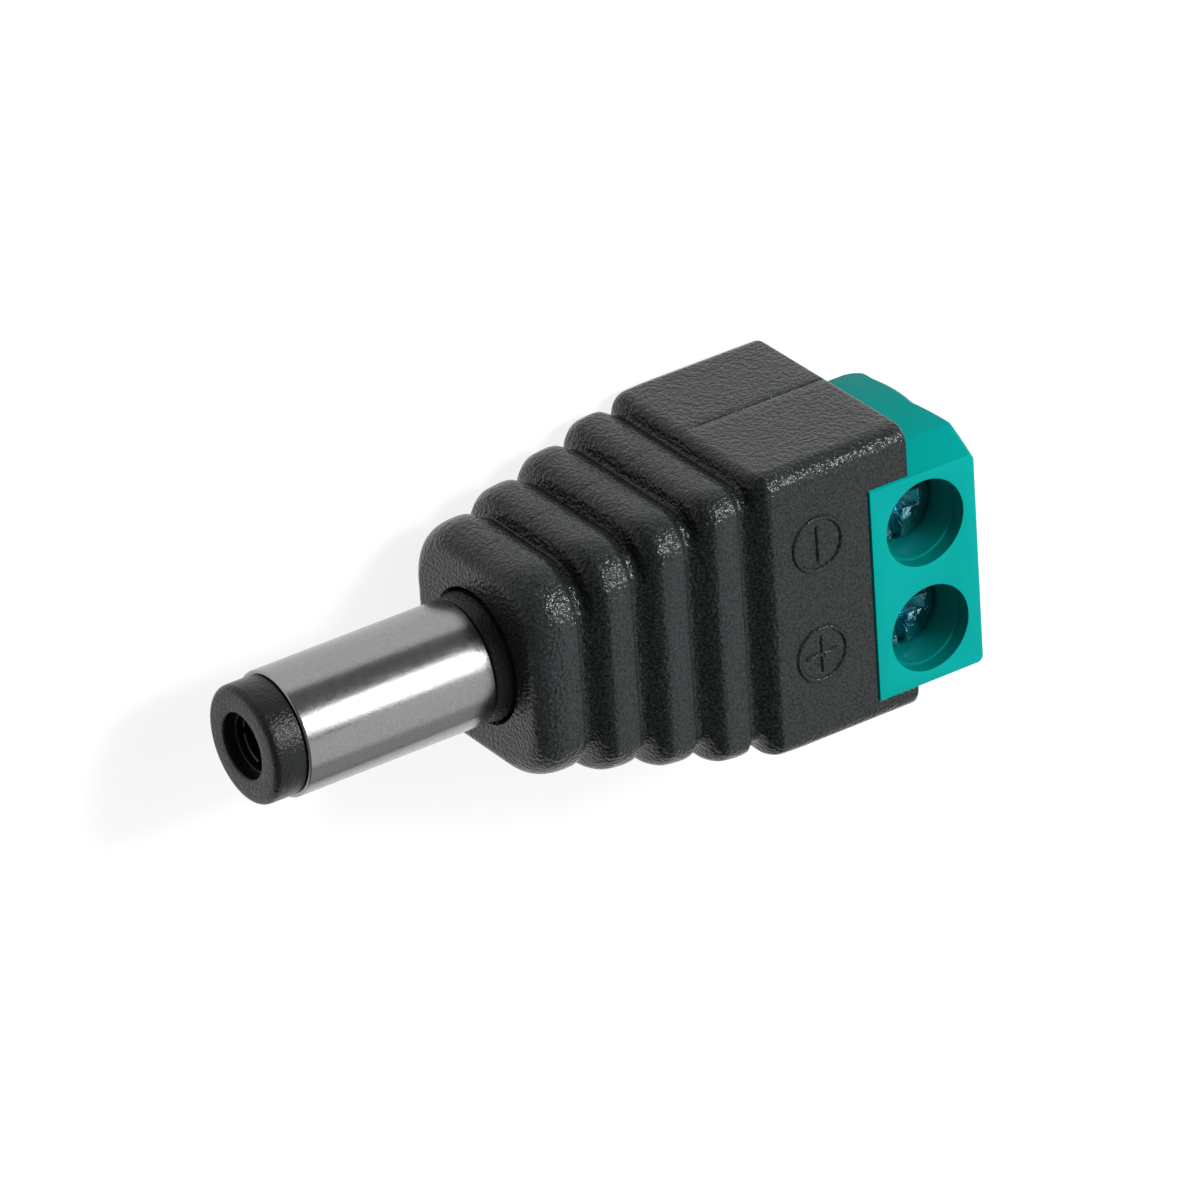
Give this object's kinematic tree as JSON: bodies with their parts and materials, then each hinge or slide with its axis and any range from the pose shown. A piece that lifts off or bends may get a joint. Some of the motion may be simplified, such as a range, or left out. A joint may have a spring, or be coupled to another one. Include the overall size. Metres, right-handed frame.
{
  "type": "dc barrel plug",
  "caption": "Barrel power plug with a ribbed, tapering two-half shell and a screw terminal block for its wires.",
  "frame": {"origin": "on the plug's axis at the front face of the shell", "axes": "the barrel points along -X, the wires enter from +X and the screws face +Z"},
  "size_m": [0.0329, 0.0132, 0.011],
  "materials": {
    "shell_black": "finely grained moulded plastic",
    "insulator_black": "smooth moulded plastic",
    "terminal_teal": "smooth moulded plastic",
    "nickel_plate": "satin nickel plate on brass",
    "contact_metal": "tinned brass",
    "screw_zinc": "bluish zinc plate",
    "lead_copper": "tinned copper wire",
    "solder_tin": "bright solder"
  },
  "bodies": {
    "root": {"screw_side_shell": "shell_black", "plain_side_shell": "shell_black", "terminal_housing": "terminal_teal", "barrel_sleeve": "nickel_plate", "tip_insulator": "insulator_black", "centre_contact": "contact_metal", "plug_core": "insulator_black", "sleeve_tag": "contact_metal", "centre_tag": "contact_metal", "minus_clamp_frame": "contact_metal", "minus_solder_pin": "contact_metal", "minus_lead": "lead_copper", "minus_solder": "solder_tin", "plus_clamp_frame": "contact_metal", "plus_solder_pin": "contact_metal", "plus_lead": "lead_copper", "plus_solder": "solder_tin"},
    "minus_plate": {"minus_pressure_plate": "screw_zinc"},
    "minus_turn": {"minus_screw": "screw_zinc"},
    "plus_plate": {"plus_pressure_plate": "screw_zinc"},
    "plus_turn": {"plus_screw": "screw_zinc"}
  },
  "joints": [
    {"name": "minus_plate_travel", "type": "slide", "parent": "root", "child": "minus_plate", "axis": [0, 0, -1], "range_m": [-0.0016, 0.0003]},
    {"name": "minus_screw_turn", "type": "hinge", "parent": "minus_plate", "child": "minus_turn", "pos_m": [0.0187, 0.00195, 0.002], "axis": [0, 0, -1], "range_deg": [-1152, 216]},
    {"name": "plus_plate_travel", "type": "slide", "parent": "root", "child": "plus_plate", "axis": [0, 0, -1], "range_m": [-0.0016, 0.0003]},
    {"name": "plus_screw_turn", "type": "hinge", "parent": "plus_plate", "child": "plus_turn", "pos_m": [0.0187, -0.00305, 0.002], "axis": [0, 0, -1], "range_deg": [-1152, 216]}
  ],
  "couplings": [
    {"joint": "minus_screw_turn", "follows": "minus_plate_travel", "rad_per_m": 12566},
    {"joint": "plus_screw_turn", "follows": "plus_plate_travel", "rad_per_m": 12566}
  ]
}
